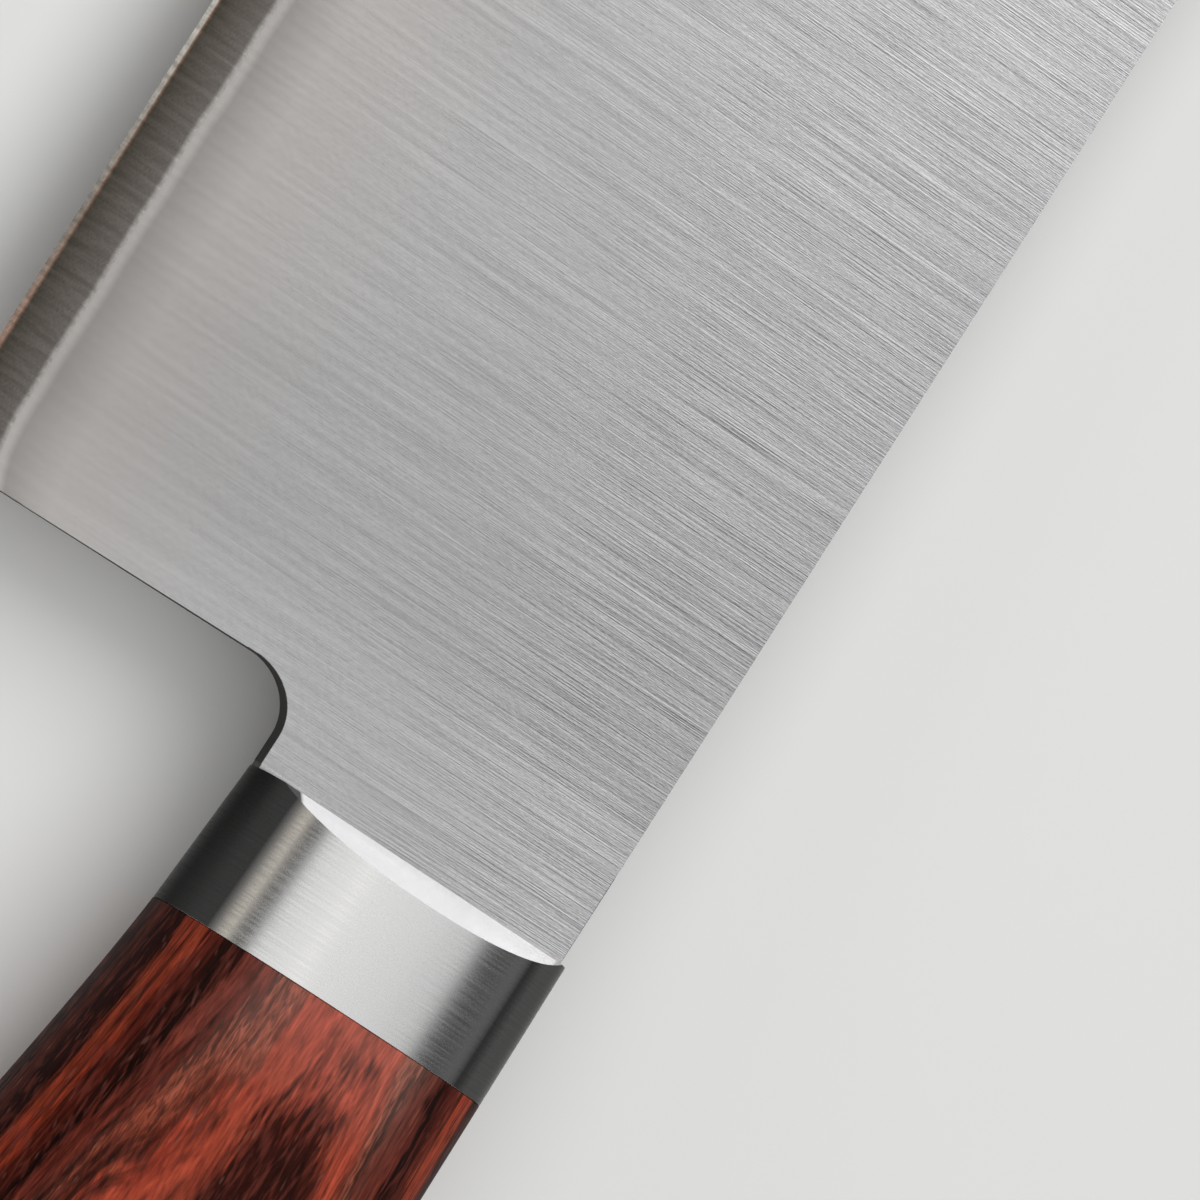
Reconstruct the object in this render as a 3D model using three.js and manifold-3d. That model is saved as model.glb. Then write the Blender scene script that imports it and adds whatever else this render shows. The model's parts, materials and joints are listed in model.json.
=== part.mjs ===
// Nakiri, a vegetable knife: a laminated blade, a steel ferrule and a laminated wood handle.
// Millimetres. It is built in line with its tang: +X to the tip, +Y to the edge, Z = 0 in the middle
// of the blade and X = 0 at the front of the ferrule. At the end it is laid down on its right face.
import * as THREE from 'three';
import { mergeVertices } from 'three/addons/utils/BufferGeometryUtils.js';
import Module from 'manifold-3d';

// Blade, seen from the side
const bladeLength = 165;
const bladeHeight = 50.4;
const edgeRocker = 1.5;
const edgeFlatFromHeel = 60;
const tipRadius = 16;
const toeRadius = 2.5;
const neckLength = 5.2;
const neckHeight = 22.58;
const neckDrop = 0.14;
const heelLean = 0.5;
const notchRun = 3.5;
const notchRise = 3.9;
const tangLength = 82;
const tangHeight = 14;
const tangEndHeight = 9;

// Blade, in section
const spineThickness = 2;
const coreThickness = 0.7;
const grindFromSpine = 24;
const grindPower = 1.6;
const grindFacets = 5;
const claddingLineHeight = 3.4;
const claddingHeelRise = 1.1;
const claddingHeelRun = 5;
const claddingLip = 0.05;
const bevelThickness = 0.25;
const microBevelHeight = 0.45;
const edgeThickness = 0.04;

// Ferrule
const ferruleLength = 9.85;
const ferruleFrontHeight = 22.9;
const ferruleFrontThickness = 17;
const ferruleRearHeight = 23.6;
const ferruleRearThickness = 17.8;
const ferruleRearDrop = 0.25;
const ferruleWall = 1.2;
const ferruleFrontWall = 2.5;
const frontBevelStart = 4.1;
const frontBevelAngle = THREE.MathUtils.degToRad(20.5);

// Handle: distance behind the ferrule's front, height, thickness and drop towards the edge side
const handleLength = 118;
const swell = { back: 47, height: 28.2, thickness: 20.5, drop: 2.3 };
const waist = { back: 84, height: 25.6, thickness: 18.6, drop: 1.2 };
const butt = { back: 109, height: 27.8, thickness: 20, drop: 2 };
const buttRadius = 6;
const ovalPower = 2.2;

// Joints between the pieces
const weldThickness = 0.3;
const adhesiveThickness = 0.6;
const tangClearance = 0.25;
const tenonClearance = 0.1;
const seatGap = 0.02;

// Steps along and around the curves
const ovalSides = 48;
const handleSteps = 22;
const buttSteps = 6;
const edgeSteps = 12;
const curveSegments = 10;

// Places that follow from the sizes
const spineY = neckDrop - neckHeight / 2;
const neckBottomY = neckDrop + neckHeight / 2;
const heelX = neckLength;
const notchTopX = heelX + heelLean;
const notchTopY = neckBottomY + notchRise;
const tipX = heelX + bladeLength;
const shoulderX = weldThickness + 2 * seatGap;
const tangEndX = shoulderX - tangLength;
const cladInnerZ = coreThickness / 2 + seatGap;
const tenonFrontX = -(ferruleFrontWall + tenonClearance);
const woodFrontX = -(ferruleLength + seatGap);
const cutMargin = 5;

const wasm = await Module();
wasm.setup();

function toSolid(geometry) {
  const bare = geometry.clone();
  bare.deleteAttribute('normal');
  bare.deleteAttribute('uv');
  const merged = mergeVertices(bare);
  const mesh = new wasm.Mesh({
    numProp: 3,
    vertProperties: new Float32Array(merged.attributes.position.array),
    triVerts: new Uint32Array(merged.index.array),
  });
  return new wasm.Manifold(mesh);
}

function toGeometry(solid) {
  const mesh = solid.getMesh();
  const geometry = new THREE.BufferGeometry();
  geometry.setAttribute('position', new THREE.BufferAttribute(mesh.vertProperties, 3));
  geometry.setIndex(new THREE.BufferAttribute(mesh.triVerts, 1));
  geometry.computeVertexNormals();
  return geometry;
}

// A closed skin through rings of points. The rings follow +X, and each turns from +Y to +Z.
function loft(rings) {
  const sides = rings[0].length;
  const positions = rings.flat().flatMap((point) => point.toArray());
  const triangles = [];
  for (let step = 0; step < rings.length - 1; step += 1) {
    for (let side = 0; side < sides; side += 1) {
      const here = step * sides + side;
      const next = step * sides + (side + 1) % sides;
      triangles.push(here, next, next + sides, here, next + sides, here + sides);
    }
  }
  const last = (rings.length - 1) * sides;
  for (let side = 1; side < sides - 1; side += 1) {
    triangles.push(0, side + 1, side);
    triangles.push(last, last + side, last + side + 1);
  }
  const geometry = new THREE.BufferGeometry();
  geometry.setAttribute('position', new THREE.Float32BufferAttribute(positions, 3));
  geometry.setIndex(triangles);
  return geometry;
}

// A flat outline in X and Y, made solid between two heights.
function slab(outline, lowZ, highZ) {
  const geometry = new THREE.ExtrudeGeometry(outline, {
    depth: highZ - lowZ,
    bevelEnabled: false,
    curveSegments,
  });
  geometry.translate(0, 0, lowZ);
  return toSolid(geometry);
}

function ovalRing(x, { height, thickness, drop }, inset = 0) {
  const halfHeight = height / 2 - inset;
  const halfThickness = thickness / 2 - inset;
  const ring = [];
  for (let side = 0; side < ovalSides; side += 1) {
    const turn = (2 * Math.PI * side) / ovalSides;
    const across = Math.sign(Math.cos(turn)) * Math.abs(Math.cos(turn)) ** (2 / ovalPower);
    const up = Math.sign(Math.sin(turn)) * Math.abs(Math.sin(turn)) ** (2 / ovalPower);
    ring.push(new THREE.Vector3(x, drop + halfHeight * across, halfThickness * up));
  }
  return ring;
}

// The cutting edge is straightest a little ahead of the heel and rises towards both ends.
function edgeY(x) {
  const rise = (Math.max(x, heelX) - heelX - edgeFlatFromHeel) / (bladeLength - edgeFlatFromHeel);
  return spineY + bladeHeight - edgeRocker * rise ** 2;
}

// The cladding ends at one height above the edge and runs up a little where it meets the heel.
function claddingLineY(x) {
  const heelShare = Math.max(0, 1 - (x - heelX) / claddingHeelRun);
  return edgeY(x) - claddingLineHeight - claddingHeelRise * heelShare ** 2;
}

// The heel leans a little, so that its corner at the edge is nearest to the handle.
function heelLineX(y) {
  const cornerY = edgeY(heelX);
  return THREE.MathUtils.mapLinear(y, notchTopY, cornerY, notchTopX, heelX);
}

function tangCorners(grow, frontX) {
  const taper = (tangHeight - tangEndHeight) / 2 / tangLength;
  const frontHalf = tangHeight / 2 + grow - taper * (shoulderX - frontX);
  const endHalf = tangEndHeight / 2 + grow;
  return { endX: tangEndX - grow, endHalf, frontX, frontHalf };
}

// The side view of the blade, neck and tang. lowerEdge draws the edge side from the toe to the heel.
function bladeOutline(lowerEdge) {
  const tang = tangCorners(0, shoulderX);
  const outline = new THREE.Shape();
  outline.moveTo(tang.endX, -tang.endHalf);
  outline.lineTo(tang.frontX, -tang.frontHalf);
  outline.lineTo(shoulderX, spineY);
  outline.lineTo(tipX - tipRadius, spineY);
  outline.absarc(tipX - tipRadius, spineY + tipRadius, tipRadius, -Math.PI / 2, 0, false);
  lowerEdge(outline);
  outline.lineTo(notchTopX, notchTopY);
  outline.absellipse(notchTopX - notchRun, notchTopY, notchRun, notchRise, 0, -Math.PI / 2, true, 0);
  outline.lineTo(shoulderX, neckBottomY);
  outline.lineTo(tang.frontX, tang.frontHalf);
  outline.lineTo(tang.endX, tang.endHalf);
  outline.closePath();
  return outline;
}

// The full outline runs past the ground edge, which trims it.
function pastTheEdge(outline) {
  const toeX = tipX - toeRadius;
  const toeY = edgeY(toeX) - toeRadius;
  outline.lineTo(tipX, toeY);
  outline.absarc(toeX, toeY, toeRadius, 0, Math.PI / 2, false);
  outline.lineTo(toeX, edgeY(toeX) + cutMargin);
  const pastY = edgeY(heelX) + cutMargin;
  outline.lineTo(heelLineX(pastY), pastY);
}

function alongTheCladdingLine(outline) {
  for (let step = 0; step <= edgeSteps; step += 1) {
    const x = THREE.MathUtils.lerp(tipX, heelX + claddingHeelRun, step / edgeSteps);
    outline.lineTo(x, claddingLineY(x));
  }
  for (let step = 1; step <= curveSegments; step += 1) {
    const x = heelX + claddingHeelRun * (1 - step / curveSegments);
    const y = claddingLineY(x);
    outline.lineTo(Math.max(x, heelLineX(y)), y);
  }
}

// One section of the ground blade: flat from the spine, then a convex grind, a bevel and a fine edge.
function bladeSection(x) {
  const lineY = edgeY(x) - claddingLineHeight;
  const grindStartY = spineY + grindFromSpine;
  const lineHalf = cladInnerZ + claddingLip;
  const half = [[spineY, spineThickness / 2]];
  for (let facet = 0; facet <= grindFacets; facet += 1) {
    const share = facet / grindFacets;
    const y = THREE.MathUtils.lerp(grindStartY, lineY, share);
    half.push([y, THREE.MathUtils.lerp(spineThickness / 2, lineHalf, share ** grindPower)]);
  }
  half.push([edgeY(x) - microBevelHeight, bevelThickness / 2]);
  half.push([edgeY(x), edgeThickness / 2]);
  const left = half.toReversed().map(([y, z]) => new THREE.Vector3(x, y, z));
  const right = half.map(([y, z]) => new THREE.Vector3(x, y, -z));
  return [...left, ...right];
}

function groundBar() {
  const rings = [bladeSection(tangEndX - cutMargin)];
  for (let step = 0; step <= edgeSteps; step += 1) {
    rings.push(bladeSection(THREE.MathUtils.lerp(heelX, tipX + cutMargin, step / edgeSteps)));
  }
  return toSolid(loft(rings));
}

function bladeCore() {
  const layer = slab(bladeOutline(pastTheEdge), -coreThickness / 2, coreThickness / 2);
  return toGeometry(groundBar().intersect(layer));
}

function cladding(side) {
  const outline = bladeOutline(alongTheCladdingLine);
  const farZ = spineThickness;
  const layer = side > 0 ? slab(outline, cladInnerZ, farZ) : slab(outline, -farZ, -cladInnerZ);
  return toGeometry(groundBar().intersect(layer));
}

function box(lowX, highX, halfHeight, halfThickness) {
  const geometry = new THREE.BoxGeometry(highX - lowX, 2 * halfHeight, 2 * halfThickness);
  geometry.translate((lowX + highX) / 2, 0, 0);
  return toSolid(geometry);
}

// A short run of filler between a shoulder of the neck and the ferrule, on one side of the tang.
function weldSeam(side) {
  const innerReach = tangHeight / 2 + tangClearance;
  const outerReach = neckHeight / 2 + side * neckDrop;
  const geometry = new THREE.BoxGeometry(weldThickness, outerReach - innerReach, spineThickness);
  geometry.translate(seatGap + weldThickness / 2, side * (innerReach + outerReach) / 2, 0);
  return geometry;
}

const ferruleFront = { height: ferruleFrontHeight, thickness: ferruleFrontThickness, drop: 0 };
const ferruleRear = { height: ferruleRearHeight, thickness: ferruleRearThickness, drop: ferruleRearDrop };

// The ferrule's oval at any distance behind its front.
function ferruleOval(back) {
  const share = back / ferruleLength;
  const mix = (key) => THREE.MathUtils.lerp(ferruleFront[key], ferruleRear[key], share);
  return { height: mix('height'), thickness: mix('thickness'), drop: mix('drop') };
}

// A block that cuts the sloping flat on one broad side of the ferrule's front.
function frontBevelCutter(side) {
  const cutSize = ferruleRearHeight;
  const geometry = new THREE.BoxGeometry(cutSize, 2 * cutSize, 2 * cutSize);
  geometry.translate(cutSize / 2, 0, cutSize);
  geometry.rotateY(-frontBevelAngle);
  geometry.translate(0, 0, frontBevelStart);
  if (side < 0) {
    geometry.rotateX(Math.PI);
  }
  return toSolid(geometry);
}

function ferrule() {
  const outer = toSolid(loft([ovalRing(-ferruleLength, ferruleRear), ovalRing(0, ferruleFront)]));
  const hollowRear = ferruleLength + cutMargin;
  const hollow = toSolid(loft([
    ovalRing(-hollowRear, ferruleOval(hollowRear), ferruleWall),
    ovalRing(-ferruleFrontWall, ferruleOval(ferruleFrontWall), ferruleWall),
  ]));
  const slot = box(
    -ferruleFrontWall - cutMargin,
    cutMargin,
    tangHeight / 2 + tangClearance,
    spineThickness / 2 + tangClearance,
  );
  return toGeometry(outer.subtract(hollow).subtract(slot)
    .subtract(frontBevelCutter(1)).subtract(frontBevelCutter(-1)));
}

// The handle's oval behind the ferrule, on smooth curves through the swell, the waist and the butt.
function handleStations() {
  const stops = [{ back: 0, ...ferruleFront }, { back: ferruleLength, ...ferruleRear }, swell, waist, butt];
  const backs = stops.map((stop) => stop.back);
  const keys = ['height', 'thickness', 'drop'];
  const curve = new THREE.CubicInterpolant(backs, stops.flatMap((stop) => keys.map((key) => stop[key])), 3);
  const stations = [];
  const roundStart = handleLength - buttRadius;
  for (let step = 0; step <= handleSteps; step += 1) {
    const back = THREE.MathUtils.lerp(-woodFrontX, roundStart, step / handleSteps);
    const [height, thickness, drop] = curve.evaluate(Math.min(back, butt.back));
    stations.push({ x: -back, oval: { height, thickness, drop }, inset: 0 });
  }
  const end = stations.at(-1).oval;
  for (let step = 1; step <= buttSteps; step += 1) {
    const turn = (Math.PI / 2) * (step / buttSteps);
    const x = -(roundStart + buttRadius * Math.sin(turn));
    stations.push({ x, oval: end, inset: buttRadius * (1 - Math.cos(turn)) });
  }
  return stations;
}

function tangSleeve(grow, frontX) {
  const { endX, endHalf, frontHalf } = tangCorners(grow, frontX);
  const outline = new THREE.Shape();
  outline.moveTo(endX, -endHalf);
  outline.lineTo(frontX, -frontHalf);
  outline.lineTo(frontX, frontHalf);
  outline.lineTo(endX, endHalf);
  outline.closePath();
  const half = spineThickness / 2 + grow;
  return slab(outline, -half, half);
}

function handleBody() {
  const tenonInset = ferruleWall + tenonClearance;
  const rings = handleStations().toReversed().map(({ x, oval, inset }) => ovalRing(x, oval, inset));
  rings.push(ovalRing(woodFrontX, ferruleOval(ferruleLength), tenonInset));
  rings.push(ovalRing(tenonFrontX, ferruleOval(-tenonFrontX), tenonInset));
  const socket = tangSleeve(adhesiveThickness + 2 * seatGap, tenonFrontX + cutMargin);
  return toGeometry(toSolid(loft(rings)).subtract(socket));
}

function tangAdhesive() {
  const outer = tangSleeve(adhesiveThickness + seatGap, tenonFrontX);
  const inner = tangSleeve(seatGap, tenonFrontX + cutMargin);
  return toGeometry(outer.subtract(inner));
}

function finish(color, roughness, metalness) {
  return new THREE.MeshStandardMaterial({ color, roughness, metalness });
}

function named(name, geometry, material) {
  const mesh = new THREE.Mesh(geometry, material);
  mesh.name = name;
  return mesh;
}

const knife = new THREE.Group();
knife.add(
  named('blade_core', bladeCore(), finish(0x8f9294, 0.35, 1)),
  named('cladding_left', cladding(1), finish(0xb6b7b8, 0.42, 1)),
  named('cladding_right', cladding(-1), finish(0xb6b7b8, 0.42, 1)),
  named('weld_spine', weldSeam(-1), finish(0xa3a3a2, 0.4, 1)),
  named('weld_belly', weldSeam(1), finish(0xa3a3a2, 0.4, 1)),
  named('ferrule', ferrule(), finish(0xc4c4c3, 0.25, 1)),
  named('handle_body', handleBody(), finish(0x7c2a1f, 0.4, 0)),
  named('tang_adhesive', tangAdhesive(), finish(0x6d5a3c, 0.6, 0)),
);

// Laid on its right face, the knife touches the surface at its tip and at one point of its grip.
function layingPitch() {
  const point = new THREE.Vector3();
  let steepest = 0;
  for (const { geometry } of knife.children) {
    const { position } = geometry.attributes;
    for (let index = 0; index < position.count; index += 1) {
      point.fromBufferAttribute(position, index);
      const drop = -point.z - spineThickness / 2;
      steepest = point.x < 0 ? Math.max(steepest, Math.atan2(drop, tipX - point.x)) : steepest;
    }
  }
  return steepest;
}

knife.rotation.y = layingPitch();

// The origin is on the surface, under the middle of the knife.
const part = new THREE.Group();
part.add(knife);
part.updateMatrixWorld(true);
const reach = new THREE.Box3().setFromObject(part, true);
const middle = reach.getCenter(new THREE.Vector3());
knife.position.set(-middle.x, -middle.y, -reach.min.z);

export default part;
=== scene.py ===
import bpy
import bmesh
import json
import math
from mathutils import Matrix, Vector


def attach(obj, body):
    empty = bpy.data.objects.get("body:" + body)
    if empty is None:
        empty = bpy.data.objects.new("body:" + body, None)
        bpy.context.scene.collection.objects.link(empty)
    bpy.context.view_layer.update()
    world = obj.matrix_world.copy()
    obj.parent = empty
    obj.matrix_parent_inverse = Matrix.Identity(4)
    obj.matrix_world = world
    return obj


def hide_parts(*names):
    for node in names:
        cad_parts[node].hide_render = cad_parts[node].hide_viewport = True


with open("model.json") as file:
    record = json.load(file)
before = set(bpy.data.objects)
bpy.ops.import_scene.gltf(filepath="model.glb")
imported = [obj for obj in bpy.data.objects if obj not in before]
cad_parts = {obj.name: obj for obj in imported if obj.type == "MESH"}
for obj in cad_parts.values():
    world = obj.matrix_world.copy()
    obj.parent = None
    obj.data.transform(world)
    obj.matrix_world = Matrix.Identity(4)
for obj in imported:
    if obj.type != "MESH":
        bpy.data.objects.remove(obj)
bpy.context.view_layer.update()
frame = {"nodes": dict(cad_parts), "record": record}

mm = 0.001
noiseSpan = (0.3, 0.7)  # nearly all of Blender's noise lies between these levels
onCut = 1e-6            # a point this near to a cut (mm) lies on it
faceOrder = Vector((1, 1.618, 2.414))  # faces are listed along this slant, because extruding leaves it open

# sizes of the knife as it is built, in millimetres: x to the tip, y to the edge, z out of the left face
blade = {
    "length": 165, "height": 50.4, "rocker": 1.5, "flatFromHeel": 60,
    "tipRadius": 16, "toeRadius": 2.5,
    "neckLength": 5.2, "neckHeight": 22.58, "neckDrop": 0.14, "heelLean": 0.5,
    "notchRun": 3.5, "notchRise": 3.9,
    "tangLength": 82, "tangHeight": 14, "tangEndHeight": 9, "shoulder": 0.34,
    "thickness": 2.0, "grindFromSpine": 24, "grindPower": 1.6,
    "rimEase": 0.06, "rimSegments": 3,  # rounding along the spine, tip, heel and notch
    "rimFromShoulder": 0.01, "rimFromLine": 0.3,
    "columns": 150,                     # fine enough for the waves of the cladding line
    "rows": 24, "rowsPastNotch": 0.7, "tipSteps": 28, "notchSteps": 24, "toeSteps": 10, "toeTurn": 84,
    "mountAlong": 90,                   # where the left flat's mount lies
}
core = {
    "thickness": 0.7, "bevelThickness": 0.25, "microBevel": 0.45, "edgeThickness": 0.04,
    "rowDepths": (0.12, 0.45, 0.8, 1.3, 1.8, 2.3, 2.8, 3.2, 3.6, 4.0, 4.6, 6.0),
}
cladding = {
    "gap": 0.02, "lip": 0.05, "overlap": 0.01,  # the layers overlap a little, so that no slit shows
    "lineHeight": 3.4, "heelRise": 1.1, "heelRun": 5, "runOut": 0.16, "sharpAngle": 6,
    "waves": ((0.035, 0.29, 0.4), (0.03, 0.83, 2.1), (0.02, 1.9, 0.7)),  # size, radians per mm, start
}

spineY = blade["neckDrop"] - blade["neckHeight"] / 2
neckBottomY = blade["neckDrop"] + blade["neckHeight"] / 2
heelX = blade["neckLength"]
tipX = heelX + blade["length"]
tangEndX = blade["shoulder"] - blade["tangLength"]
lineHalf = core["thickness"] / 2 + cladding["gap"] + cladding["lip"]


# the left flat's mount gives the slope and the place at which the knife lies
def layMatrix():
    mount = next(m for m in frame["record"]["mounts"] if m["name"] == "left_flat")
    normal = Vector(mount["axis"]).normalized()
    turn = Matrix.Rotation(math.atan2(normal.x, normal.z), 4, "Y")
    onFace = Vector((blade["mountAlong"], 0, blade["thickness"] / 2)) * mm
    return Matrix.Translation(Vector(mount["pos_m"]) - turn @ onFace) @ turn


lay = layMatrix()


def lerp(a, b, share):
    return a + (b - a) * share


# lays a piece that was built in knife millimetres, and lets it stand for its node
def knifePiece(name, bm, material, node, sharpAngle=30):
    bmesh.ops.recalc_face_normals(bm, faces=bm.faces)
    bmesh.ops.transform(bm, matrix=lay @ Matrix.Scale(mm, 4), verts=bm.verts)
    bm.faces.sort(key=lambda face: face.calc_center_median().dot(faceOrder))
    mesh = bpy.data.meshes.new(name)
    bm.to_mesh(mesh)
    bm.free()
    mesh.shade_smooth()
    mesh.set_sharp_from_angle(angle=math.radians(sharpAngle))
    mesh.materials.append(material)
    piece = bpy.data.objects.new(name, mesh)
    bpy.context.scene.collection.objects.link(piece)
    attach(piece, "root")
    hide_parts(node)
    print("made", name, len(mesh.polygons), "faces")


# node helpers
def startMaterial(name):
    material = bpy.data.materials.new(name)
    material.use_nodes = True
    tree = material.node_tree
    tree.nodes.clear()
    output = tree.nodes.new("ShaderNodeOutputMaterial")
    shader = tree.nodes.new("ShaderNodeBsdfPrincipled")
    tree.links.new(shader.outputs["BSDF"], output.inputs["Surface"])
    return material, tree, shader


def addNode(tree, kind, **settings):
    node = tree.nodes.new(kind)
    for key, value in settings.items():
        setattr(node, key, value)
    return node


def feed(tree, socket, source):
    if isinstance(source, bpy.types.NodeSocket):
        tree.links.new(source, socket)
    else:
        socket.default_value = source


def mathOf(tree, operation, first, second=0.0):
    node = addNode(tree, "ShaderNodeMath", operation=operation)
    feed(tree, node.inputs[0], first)
    feed(tree, node.inputs[1], second)
    return node.outputs[0]


def sumOf(tree, *values):
    total = values[0]
    for value in values[1:]:
        total = mathOf(tree, "ADD", total, value)
    return total


# place on the knife in its own millimetres, wherever it lies
def knifeCoords(tree):
    node = addNode(tree, "ShaderNodeMapping", vector_type="TEXTURE")
    feed(tree, node.inputs["Vector"], addNode(tree, "ShaderNodeTexCoord").outputs["Object"])
    node.inputs["Location"].default_value = lay.to_translation()
    node.inputs["Rotation"].default_value = lay.to_euler()
    node.inputs["Scale"].default_value = (mm, mm, mm)
    return node.outputs["Vector"]


def knifeNormal(tree):
    node = addNode(tree, "ShaderNodeMapping", vector_type="TEXTURE")
    feed(tree, node.inputs["Vector"], addNode(tree, "ShaderNodeTexCoord").outputs["Normal"])
    node.inputs["Rotation"].default_value = lay.to_euler()
    return splitOf(tree, node.outputs["Vector"])


def splitOf(tree, vector):
    node = addNode(tree, "ShaderNodeSeparateXYZ")
    feed(tree, node.inputs[0], vector)
    return node.outputs


def stretched(tree, vector, scale, shift=(0, 0, 0)):
    node = addNode(tree, "ShaderNodeMapping")
    feed(tree, node.inputs["Vector"], vector)
    node.inputs["Scale"].default_value = scale
    node.inputs["Location"].default_value = shift
    return node.outputs["Vector"]


def turned(tree, vector, degrees):
    node = addNode(tree, "ShaderNodeVectorRotate", rotation_type="Z_AXIS")
    feed(tree, node.inputs["Vector"], vector)
    node.inputs["Angle"].default_value = math.radians(degrees)
    return node.outputs["Vector"]


def noiseOf(tree, vector, detail=2.0, roughness=0.5):
    node = addNode(tree, "ShaderNodeTexNoise")
    feed(tree, node.inputs["Vector"], vector)
    node.inputs["Scale"].default_value = 1.0
    node.inputs["Detail"].default_value = detail
    node.inputs["Roughness"].default_value = roughness
    return node.outputs["Fac"]


def remap(tree, value, fromLow, fromHigh, toLow, toHigh, kind="LINEAR"):
    node = addNode(tree, "ShaderNodeMapRange", interpolation_type=kind)
    feed(tree, node.inputs["Value"], value)
    ends = {"From Min": fromLow, "From Max": fromHigh, "To Min": toLow, "To Max": toHigh}
    for key, number in ends.items():
        feed(tree, node.inputs[key], number)
    return node.outputs["Result"]


def rampOf(tree, value, stops):
    node = addNode(tree, "ShaderNodeValToRGB")
    feed(tree, node.inputs["Fac"], value)
    marks = node.color_ramp.elements
    while len(marks) < len(stops):
        marks.new(0.5)
    for mark, (place, colour) in zip(marks, stops):
        mark.position = place
        mark.color = (*colour, 1)
    return node.outputs["Color"]


def mixColour(tree, share, first, second, blend="MIX"):
    node = addNode(tree, "ShaderNodeMix", data_type="RGBA", blend_type=blend)
    feed(tree, node.inputs[0], share)
    feed(tree, node.inputs[6], first)
    feed(tree, node.inputs[7], second)
    return node.outputs[2]


def scaledColour(tree, colour, share):
    node = addNode(tree, "ShaderNodeVectorMath", operation="SCALE")
    feed(tree, node.inputs[0], colour)
    feed(tree, node.inputs["Scale"], share)
    return node.outputs[0]


def bumpFrom(tree, height, distance, strength=1.0):
    node = addNode(tree, "ShaderNodeBump")
    node.inputs["Strength"].default_value = strength
    node.inputs["Distance"].default_value = distance
    feed(tree, node.inputs["Height"], height)
    return node.outputs["Normal"]


# brushing across the knife: hairlines in three lengths that cross at small angles, and single scratches
brushedFinish = {
    "layers": (  # turn in degrees, scale, shift, share of the whole
        (0.4, (1, 1, 1), (0, 0, 0), 0.36),
        (-0.7, (0.85, 0.25, 0.25), (3.1, 0.7, 1.9), 0.34),
        (1.1, (1.3, 20, 20), (7.7, 2.3, 0.4), 0.30),
    ),
    "single": (-0.3, (0.9, 0.5, 0.5), (11.7, 5.3, 2.4)),
    "beside": 1.2, "besideShare": 0.225,
    "linesFrom": (0.36, 0.64), "scratchesFrom": (0.70, 0.82),  # noise levels that give none and full
}


def brushedGroup():
    group = bpy.data.node_groups.new("brushedLines", "ShaderNodeTree")
    group.interface.new_socket("Place", in_out="INPUT", socket_type="NodeSocketVector")
    for name in ("Width", "Length"):
        group.interface.new_socket(name, in_out="INPUT", socket_type="NodeSocketFloat")
    for name in ("Lines", "Scratches"):
        group.interface.new_socket(name, in_out="OUTPUT", socket_type="NodeSocketFloat")
    given = group.nodes.new("NodeGroupInput").outputs
    taken = group.nodes.new("NodeGroupOutput").inputs
    size = addNode(group, "ShaderNodeCombineXYZ")
    for axis, name in (("X", "Width"), ("Y", "Length"), ("Z", "Length")):
        feed(group, size.inputs[axis], given[name])

    # part of each line's neighbour is taken away, which leaves thin lines and few broad ones
    def layer(degrees, scale, shift):
        node = addNode(group, "ShaderNodeVectorMath", operation="DIVIDE")
        feed(group, node.inputs[0], turned(group, given["Place"], degrees))
        feed(group, node.inputs[1], size.outputs[0])
        line = noiseOf(group, stretched(group, node.outputs[0], scale, shift), 1.0)
        beside = (shift[0] + brushedFinish["beside"], shift[1], shift[2])
        neighbour = noiseOf(group, stretched(group, node.outputs[0], scale, beside), 1.0)
        less = brushedFinish["besideShare"]
        return mathOf(group, "ADD", line, remap(group, neighbour, 0.0, 1.0, less, -less))
    parts = []
    for degrees, scale, shift, share in brushedFinish["layers"]:
        parts.append(mathOf(group, "MULTIPLY", layer(degrees, scale, shift), share))
    feed(group, taken["Lines"], remap(group, sumOf(group, *parts), *brushedFinish["linesFrom"], 0.0, 1.0))
    single = layer(*brushedFinish["single"])
    feed(group, taken["Scratches"], remap(group, single, *brushedFinish["scratchesFrom"], 0.0, 1.0))
    return group


brushedLines = brushedGroup()


def brushedIn(tree, place, width, length):
    node = addNode(tree, "ShaderNodeGroup", node_tree=brushedLines)
    feed(tree, node.inputs["Place"], place)
    node.inputs["Width"].default_value = width
    node.inputs["Length"].default_value = length
    return node.outputs


# how far the surface lies behind the cutting edge ("fromEdge") or the cladding line ("fromLine")
def depthOf(tree, name):
    return addNode(tree, "ShaderNodeAttribute", attribute_name=name).outputs["Fac"]


# painted shade: the blade's heel, notch and neck walls are made near-black and not metal; its spine is
# ground like the faces
wallShadeFinish = {
    "colour": (0.022, 0.021, 0.020), "roughness": 0.6, "gloss": 0.15,
    "upright": (0.2, 0.7), "spineSide": (-0.6, -0.3),
}


def wallShadeShare(tree):
    facing = knifeNormal(tree)
    upright = remap(tree, mathOf(tree, "ABSOLUTE", facing["Z"]), *wallShadeFinish["upright"], 1.0, 0.0)
    return mathOf(tree, "MULTIPLY", upright, remap(tree, facing["Y"], *wallShadeFinish["spineSide"], 0.0, 1.0))


def shadedWallAndFace(tree, shader, onShadedWall, face):
    feed(tree, shader.inputs["Base Color"], mixColour(tree, onShadedWall, face, (*wallShadeFinish["colour"], 1)))
    feed(tree, shader.inputs["Metallic"], mathOf(tree, "SUBTRACT", 1.0, onShadedWall))
    shader.inputs["Specular IOR Level"].default_value = wallShadeFinish["gloss"]


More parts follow.
